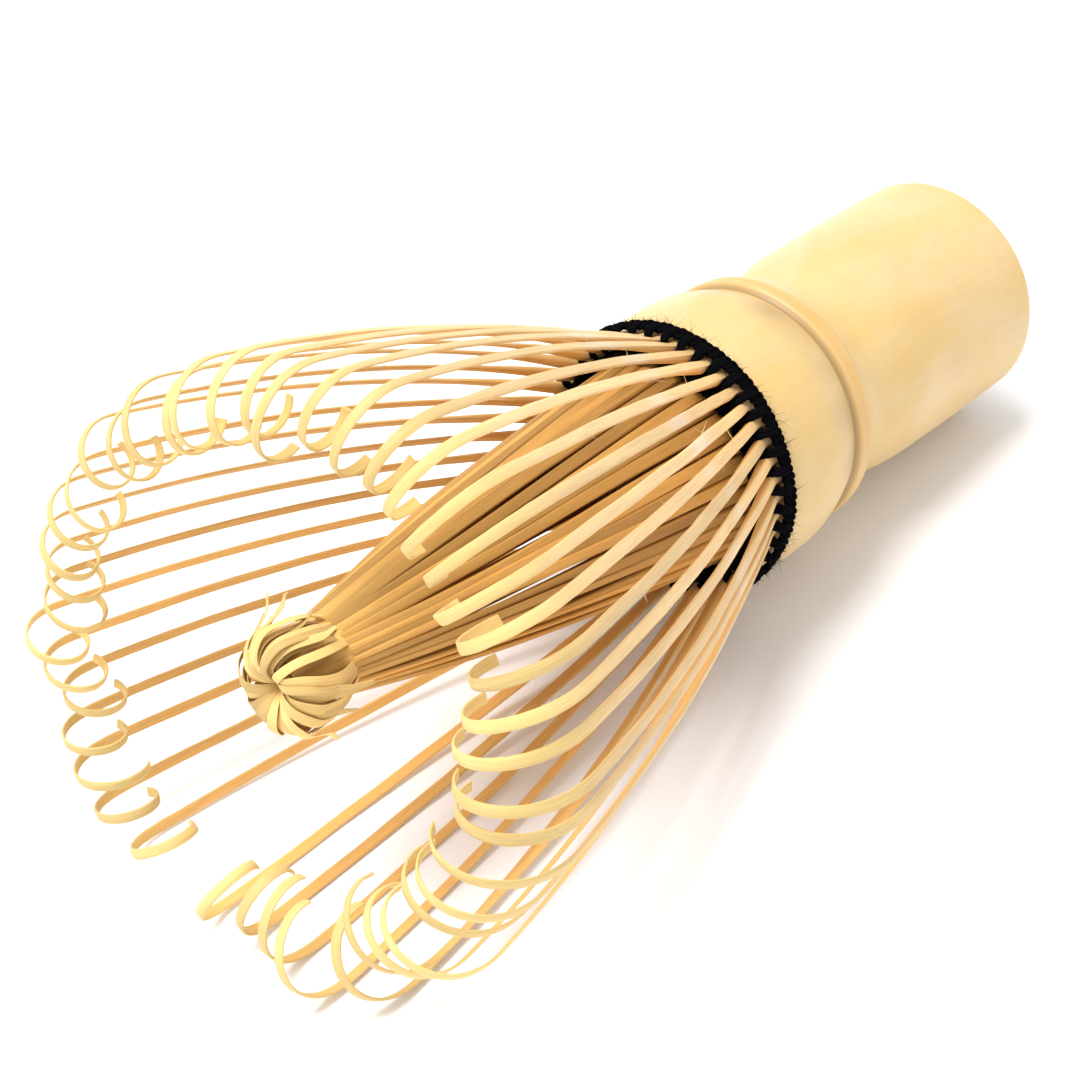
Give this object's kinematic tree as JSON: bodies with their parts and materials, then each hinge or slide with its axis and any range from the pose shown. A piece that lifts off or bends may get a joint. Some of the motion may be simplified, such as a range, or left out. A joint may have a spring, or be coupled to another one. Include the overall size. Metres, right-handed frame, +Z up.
{
  "type": "bamboo tea whisk",
  "caption": "Bamboo tea whisk lying on its side: a ridged culm handle, a thread binding, a bell of springy outer tines with curled tips, and an inner cone of tines knotted at the tip.",
  "frame": {"origin": "on the surface it lies on, below the middle of its bounding box", "axes": "+Z up; the whisk axis lies in the XZ plane with the butt towards +X and the tips towards -X, raised 6.5 degrees"},
  "size_m": [0.112, 0.0572, 0.0536],
  "materials": {
    "bamboo_skin": "satin shaved and polished culm skin, pale cream yellow",
    "bamboo_tine": "split bamboo: pale satin skin face, orange-tan inner face, fine lengthwise fibres",
    "bamboo_inner_tine": "split inner bamboo, tan orange, matt, fine lengthwise fibres",
    "black_thread": "matt twisted cotton thread with short stray fibres"
  },
  "bodies": {
    "handle": {"handle": "bamboo_skin", "thread_outer_wrap": "black_thread", "thread_inner_weave": "black_thread"},
    "inner_bundle": {"inner_tine_group_01": "bamboo_inner_tine", "inner_tine_group_02": "bamboo_inner_tine", "inner_tine_group_03": "bamboo_inner_tine", "inner_tine_group_04": "bamboo_inner_tine", "inner_tine_group_05": "bamboo_inner_tine", "inner_tine_group_06": "bamboo_inner_tine", "inner_tine_group_07": "bamboo_inner_tine", "inner_tine_group_08": "bamboo_inner_tine", "inner_tine_group_09": "bamboo_inner_tine", "inner_tine_group_10": "bamboo_inner_tine", "inner_tine_group_11": "bamboo_inner_tine", "inner_tip_knot": "bamboo_inner_tine"},
    "outer_tine_01": {"outer_tine_01": "bamboo_tine"},
    "outer_tine_02": {"outer_tine_02": "bamboo_tine"},
    "outer_tine_03": {"outer_tine_03": "bamboo_tine"},
    "outer_tine_04": {"outer_tine_04": "bamboo_tine"},
    "outer_tine_05": {"outer_tine_05": "bamboo_tine"},
    "outer_tine_06": {"outer_tine_06": "bamboo_tine"},
    "outer_tine_07": {"outer_tine_07": "bamboo_tine"},
    "outer_tine_08": {"outer_tine_08": "bamboo_tine"},
    "outer_tine_09": {"outer_tine_09": "bamboo_tine"},
    "outer_tine_10": {"outer_tine_10": "bamboo_tine"},
    "outer_tine_11": {"outer_tine_11": "bamboo_tine"},
    "outer_tine_12": {"outer_tine_12": "bamboo_tine"},
    "outer_tine_13": {"outer_tine_13": "bamboo_tine"},
    "outer_tine_14": {"outer_tine_14": "bamboo_tine"},
    "outer_tine_15": {"outer_tine_15": "bamboo_tine"},
    "outer_tine_16": {"outer_tine_16": "bamboo_tine"},
    "outer_tine_17": {"outer_tine_17": "bamboo_tine"},
    "outer_tine_18": {"outer_tine_18": "bamboo_tine"},
    "outer_tine_19": {"outer_tine_19": "bamboo_tine"},
    "outer_tine_20": {"outer_tine_20": "bamboo_tine"},
    "outer_tine_21": {"outer_tine_21": "bamboo_tine"},
    "outer_tine_22": {"outer_tine_22": "bamboo_tine"},
    "outer_tine_23": {"outer_tine_23": "bamboo_tine"},
    "outer_tine_24": {"outer_tine_24": "bamboo_tine"},
    "outer_tine_25": {"outer_tine_25": "bamboo_tine"},
    "outer_tine_26": {"outer_tine_26": "bamboo_tine"},
    "outer_tine_27": {"outer_tine_27": "bamboo_tine"},
    "outer_tine_28": {"outer_tine_28": "bamboo_tine"},
    "outer_tine_29": {"outer_tine_29": "bamboo_tine"},
    "outer_tine_30": {"outer_tine_30": "bamboo_tine"},
    "outer_tine_31": {"outer_tine_31": "bamboo_tine"},
    "outer_tine_32": {"outer_tine_32": "bamboo_tine"},
    "outer_tine_33": {"outer_tine_33": "bamboo_tine"},
    "outer_tine_34": {"outer_tine_34": "bamboo_tine"},
    "outer_tine_35": {"outer_tine_35": "bamboo_tine"},
    "outer_tine_36": {"outer_tine_36": "bamboo_tine"},
    "outer_tine_37": {"outer_tine_37": "bamboo_tine"},
    "outer_tine_38": {"outer_tine_38": "bamboo_tine"},
    "outer_tine_39": {"outer_tine_39": "bamboo_tine"},
    "outer_tine_40": {"outer_tine_40": "bamboo_tine"},
    "outer_tine_41": {"outer_tine_41": "bamboo_tine"},
    "outer_tine_42": {"outer_tine_42": "bamboo_tine"},
    "outer_tine_43": {"outer_tine_43": "bamboo_tine"},
    "outer_tine_44": {"outer_tine_44": "bamboo_tine"}
  },
  "joints": [
    {"name": "tine_flex_01", "type": "hinge", "parent": "handle", "child": "outer_tine_01", "pos_m": [0.00671, -0.00048, 0.00462], "axis": [0.0047, -0.9991, 0.0414], "range_deg": [-4, 4.5], "stiffness_Nm_per_rad": 0.025},
    {"name": "tine_flex_02", "type": "hinge", "parent": "handle", "child": "outer_tine_02", "pos_m": [0.00674, -0.00228, 0.00482], "axis": [0.0208, -0.983, 0.1823], "range_deg": [-3, 7], "stiffness_Nm_per_rad": 0.025},
    {"name": "tine_flex_03", "type": "hinge", "parent": "handle", "child": "outer_tine_03", "pos_m": [0.00679, -0.00403, 0.00528], "axis": [0.0364, -0.9469, 0.3194], "range_deg": [-4, 7], "stiffness_Nm_per_rad": 0.025},
    {"name": "tine_flex_04", "type": "hinge", "parent": "handle", "child": "outer_tine_04", "pos_m": [0.00687, -0.0057, 0.00598], "axis": [0.0513, -0.8915, 0.4501], "range_deg": [-4, 7], "stiffness_Nm_per_rad": 0.025},
    {"name": "tine_flex_05", "type": "hinge", "parent": "handle", "child": "outer_tine_05", "pos_m": [0.00698, -0.00725, 0.00691], "axis": [0.0651, -0.818, 0.5716], "range_deg": [-4, 7], "stiffness_Nm_per_rad": 0.025},
    {"name": "tine_flex_06", "type": "hinge", "parent": "handle", "child": "outer_tine_06", "pos_m": [0.00711, -0.00866, 0.00804], "axis": [0.0776, -0.7278, 0.6814], "range_deg": [-4, 7], "stiffness_Nm_per_rad": 0.025},
    {"name": "tine_flex_07", "type": "hinge", "parent": "handle", "child": "outer_tine_07", "pos_m": [0.00726, -0.00988, 0.00937], "axis": [0.0886, -0.6228, 0.7774], "range_deg": [-4, 7], "stiffness_Nm_per_rad": 0.025},
    {"name": "tine_flex_08", "type": "hinge", "parent": "handle", "child": "outer_tine_08", "pos_m": [0.00743, -0.01091, 0.01085], "axis": [0.0977, -0.5051, 0.8575], "range_deg": [-4, 7], "stiffness_Nm_per_rad": 0.025},
    {"name": "tine_flex_09", "type": "hinge", "parent": "handle", "child": "outer_tine_09", "pos_m": [0.00761, -0.01171, 0.01247], "axis": [0.1048, -0.3771, 0.9202], "range_deg": [-4, 7], "stiffness_Nm_per_rad": 0.025},
    {"name": "tine_flex_10", "type": "hinge", "parent": "handle", "child": "outer_tine_10", "pos_m": [0.0078, -0.01227, 0.01418], "axis": [0.1099, -0.2415, 0.9642], "range_deg": [-4, 7], "stiffness_Nm_per_rad": 0.025},
    {"name": "tine_flex_11", "type": "hinge", "parent": "handle", "child": "outer_tine_11", "pos_m": [0.00801, -0.01258, 0.01595], "axis": [0.1126, -0.1009, 0.9885], "range_deg": [-4, 7], "stiffness_Nm_per_rad": 0.025},
    {"name": "tine_flex_12", "type": "hinge", "parent": "handle", "child": "outer_tine_12", "pos_m": [0.00821, -0.01264, 0.01775], "axis": [0.1131, 0.0417, 0.9927], "range_deg": [-4, 7], "stiffness_Nm_per_rad": 0.025},
    {"name": "tine_flex_13", "type": "hinge", "parent": "handle", "child": "outer_tine_13", "pos_m": [0.00842, -0.01243, 0.01954], "axis": [0.1113, 0.1835, 0.9767], "range_deg": [-4, 7], "stiffness_Nm_per_rad": 0.025},
    {"name": "tine_flex_14", "type": "hinge", "parent": "handle", "child": "outer_tine_14", "pos_m": [0.00861, -0.01197, 0.02128], "axis": [0.1072, 0.3215, 0.9408], "range_deg": [-4, 7], "stiffness_Nm_per_rad": 0.025},
    {"name": "tine_flex_15", "type": "hinge", "parent": "handle", "child": "outer_tine_15", "pos_m": [0.0088, -0.01127, 0.02294], "axis": [0.1009, 0.453, 0.8858], "range_deg": [-4, 7], "stiffness_Nm_per_rad": 0.025},
    {"name": "tine_flex_16", "type": "hinge", "parent": "handle", "child": "outer_tine_16", "pos_m": [0.00898, -0.01034, 0.02449], "axis": [0.0926, 0.5753, 0.8127], "range_deg": [-4, 7], "stiffness_Nm_per_rad": 0.025},
    {"name": "tine_flex_17", "type": "hinge", "parent": "handle", "child": "outer_tine_17", "pos_m": [0.00914, -0.00919, 0.02588], "axis": [0.0824, 0.6858, 0.7231], "range_deg": [-4, 7], "stiffness_Nm_per_rad": 0.025},
    {"name": "tine_flex_18", "type": "hinge", "parent": "handle", "child": "outer_tine_18", "pos_m": [0.00928, -0.00786, 0.0271], "axis": [0.0705, 0.7824, 0.6188], "range_deg": [-4, 7], "stiffness_Nm_per_rad": 0.025},
    {"name": "tine_flex_19", "type": "hinge", "parent": "handle", "child": "outer_tine_19", "pos_m": [0.00939, -0.00636, 0.02812], "axis": [0.0572, 0.8631, 0.5018], "range_deg": [-4, 7], "stiffness_Nm_per_rad": 0.025},
    {"name": "tine_flex_20", "type": "hinge", "parent": "handle", "child": "outer_tine_20", "pos_m": [0.00948, -0.00474, 0.02891], "axis": [0.0427, 0.9262, 0.3747], "range_deg": [-4, 7], "stiffness_Nm_per_rad": 0.025},
    {"name": "tine_flex_21", "type": "hinge", "parent": "handle", "child": "outer_tine_21", "pos_m": [0.00955, -0.00301, 0.02947], "axis": [0.0273, 0.9704, 0.2399], "range_deg": [-4, 7], "stiffness_Nm_per_rad": 0.025},
    {"name": "tine_flex_22", "type": "hinge", "parent": "handle", "child": "outer_tine_22", "pos_m": [0.00958, -0.00123, 0.02978], "axis": [0.0114, 0.9949, 0.1002], "range_deg": [-4, 7], "stiffness_Nm_per_rad": 0.025},
    {"name": "tine_flex_23", "type": "hinge", "parent": "handle", "child": "outer_tine_23", "pos_m": [0.00959, 0.00058, 0.02984], "axis": [-0.0047, 0.9991, -0.0414], "range_deg": [-4, 7], "stiffness_Nm_per_rad": 0.025},
    {"name": "tine_flex_24", "type": "hinge", "parent": "handle", "child": "outer_tine_24", "pos_m": [0.00957, 0.00238, 0.02963], "axis": [-0.0208, 0.983, -0.1823], "range_deg": [-4, 7], "stiffness_Nm_per_rad": 0.025},
    {"name": "tine_flex_25", "type": "hinge", "parent": "handle", "child": "outer_tine_25", "pos_m": [0.00951, 0.00414, 0.02918], "axis": [-0.0364, 0.9469, -0.3194], "range_deg": [-4, 7], "stiffness_Nm_per_rad": 0.025},
    {"name": "tine_flex_26", "type": "hinge", "parent": "handle", "child": "outer_tine_26", "pos_m": [0.00943, 0.00581, 0.02848], "axis": [-0.0513, 0.8915, -0.4501], "range_deg": [-4, 7], "stiffness_Nm_per_rad": 0.025},
    {"name": "tine_flex_27", "type": "hinge", "parent": "handle", "child": "outer_tine_27", "pos_m": [0.00933, 0.00736, 0.02755], "axis": [-0.0651, 0.818, -0.5716], "range_deg": [-4, 5], "stiffness_Nm_per_rad": 0.025},
    {"name": "tine_flex_28", "type": "hinge", "parent": "handle", "child": "outer_tine_28", "pos_m": [0.0092, 0.00876, 0.02641], "axis": [-0.0776, 0.7278, -0.6814], "range_deg": [-3.5, 7], "stiffness_Nm_per_rad": 0.025},
    {"name": "tine_flex_29", "type": "hinge", "parent": "handle", "child": "outer_tine_29", "pos_m": [0.00905, 0.00999, 0.02509], "axis": [-0.0886, 0.6228, -0.7774], "range_deg": [-4, 7], "stiffness_Nm_per_rad": 0.025},
    {"name": "tine_flex_30", "type": "hinge", "parent": "handle", "child": "outer_tine_30", "pos_m": [0.00888, 0.01102, 0.0236], "axis": [-0.0977, 0.5051, -0.8575], "range_deg": [-4, 2.75], "stiffness_Nm_per_rad": 0.025},
    {"name": "tine_flex_31", "type": "hinge", "parent": "handle", "child": "outer_tine_31", "pos_m": [0.00869, 0.01182, 0.02199], "axis": [-0.1048, 0.3771, -0.9202], "range_deg": [-2, 5.5], "stiffness_Nm_per_rad": 0.025},
    {"name": "tine_flex_32", "type": "hinge", "parent": "handle", "child": "outer_tine_32", "pos_m": [0.0085, 0.01238, 0.02027], "axis": [-0.1099, 0.2415, -0.9642], "range_deg": [-4, 7], "stiffness_Nm_per_rad": 0.025},
    {"name": "tine_flex_33", "type": "hinge", "parent": "handle", "child": "outer_tine_33", "pos_m": [0.0083, 0.01269, 0.0185], "axis": [-0.1126, 0.1009, -0.9885], "range_deg": [-3.25, 4], "stiffness_Nm_per_rad": 0.025},
    {"name": "tine_flex_34", "type": "hinge", "parent": "handle", "child": "outer_tine_34", "pos_m": [0.00809, 0.01274, 0.0167], "axis": [-0.1131, -0.0417, -0.9927], "range_deg": [-3.25, 2.25], "stiffness_Nm_per_rad": 0.025},
    {"name": "tine_flex_35", "type": "hinge", "parent": "handle", "child": "outer_tine_35", "pos_m": [0.00789, 0.01254, 0.01491], "axis": [-0.1113, -0.1835, -0.9767], "range_deg": [-1.75, 3.25], "stiffness_Nm_per_rad": 0.025},
    {"name": "tine_flex_36", "type": "hinge", "parent": "handle", "child": "outer_tine_36", "pos_m": [0.00769, 0.01208, 0.01317], "axis": [-0.1072, -0.3215, -0.9408], "range_deg": [-2.75, 2], "stiffness_Nm_per_rad": 0.025},
    {"name": "tine_flex_37", "type": "hinge", "parent": "handle", "child": "outer_tine_37", "pos_m": [0.0075, 0.01138, 0.01151], "axis": [-0.1009, -0.453, -0.8858], "range_deg": [-1.75, 2.5], "stiffness_Nm_per_rad": 0.025},
    {"name": "tine_flex_38", "type": "hinge", "parent": "handle", "child": "outer_tine_38", "pos_m": [0.00732, 0.01044, 0.00997], "axis": [-0.0926, -0.5753, -0.8127], "range_deg": [-2, 1.5], "stiffness_Nm_per_rad": 0.025},
    {"name": "tine_flex_39", "type": "hinge", "parent": "handle", "child": "outer_tine_39", "pos_m": [0.00717, 0.0093, 0.00857], "axis": [-0.0824, -0.6858, -0.7231], "range_deg": [-1.25, 1.75], "stiffness_Nm_per_rad": 0.025},
    {"name": "tine_flex_40", "type": "hinge", "parent": "handle", "child": "outer_tine_40", "pos_m": [0.00703, 0.00796, 0.00736], "axis": [-0.0705, -0.7824, -0.6188], "range_deg": [-1.5, 2.5], "stiffness_Nm_per_rad": 0.025},
    {"name": "tine_flex_41", "type": "hinge", "parent": "handle", "child": "outer_tine_41", "pos_m": [0.00691, 0.00647, 0.00634], "axis": [-0.0572, -0.8631, -0.5018], "range_deg": [-2, 2], "stiffness_Nm_per_rad": 0.025},
    {"name": "tine_flex_42", "type": "hinge", "parent": "handle", "child": "outer_tine_42", "pos_m": [0.00682, 0.00484, 0.00554], "axis": [-0.0427, -0.9262, -0.3747], "range_deg": [-1.75, 2.25], "stiffness_Nm_per_rad": 0.025},
    {"name": "tine_flex_43", "type": "hinge", "parent": "handle", "child": "outer_tine_43", "pos_m": [0.00676, 0.00312, 0.00498], "axis": [-0.0273, -0.9704, -0.2399], "range_deg": [-2, 3.25], "stiffness_Nm_per_rad": 0.025},
    {"name": "tine_flex_44", "type": "hinge", "parent": "handle", "child": "outer_tine_44", "pos_m": [0.00672, 0.00134, 0.00467], "axis": [-0.0114, -0.9949, -0.1002], "range_deg": [-2.75, 7], "stiffness_Nm_per_rad": 0.025},
    {"name": "inner_bundle_sway", "type": "hinge", "parent": "handle", "child": "inner_bundle", "pos_m": [0.00706, 0.00005, 0.01735], "axis": [0, 1, 0], "range_deg": [-2, 2], "stiffness_Nm_per_rad": 1.5}
  ]
}
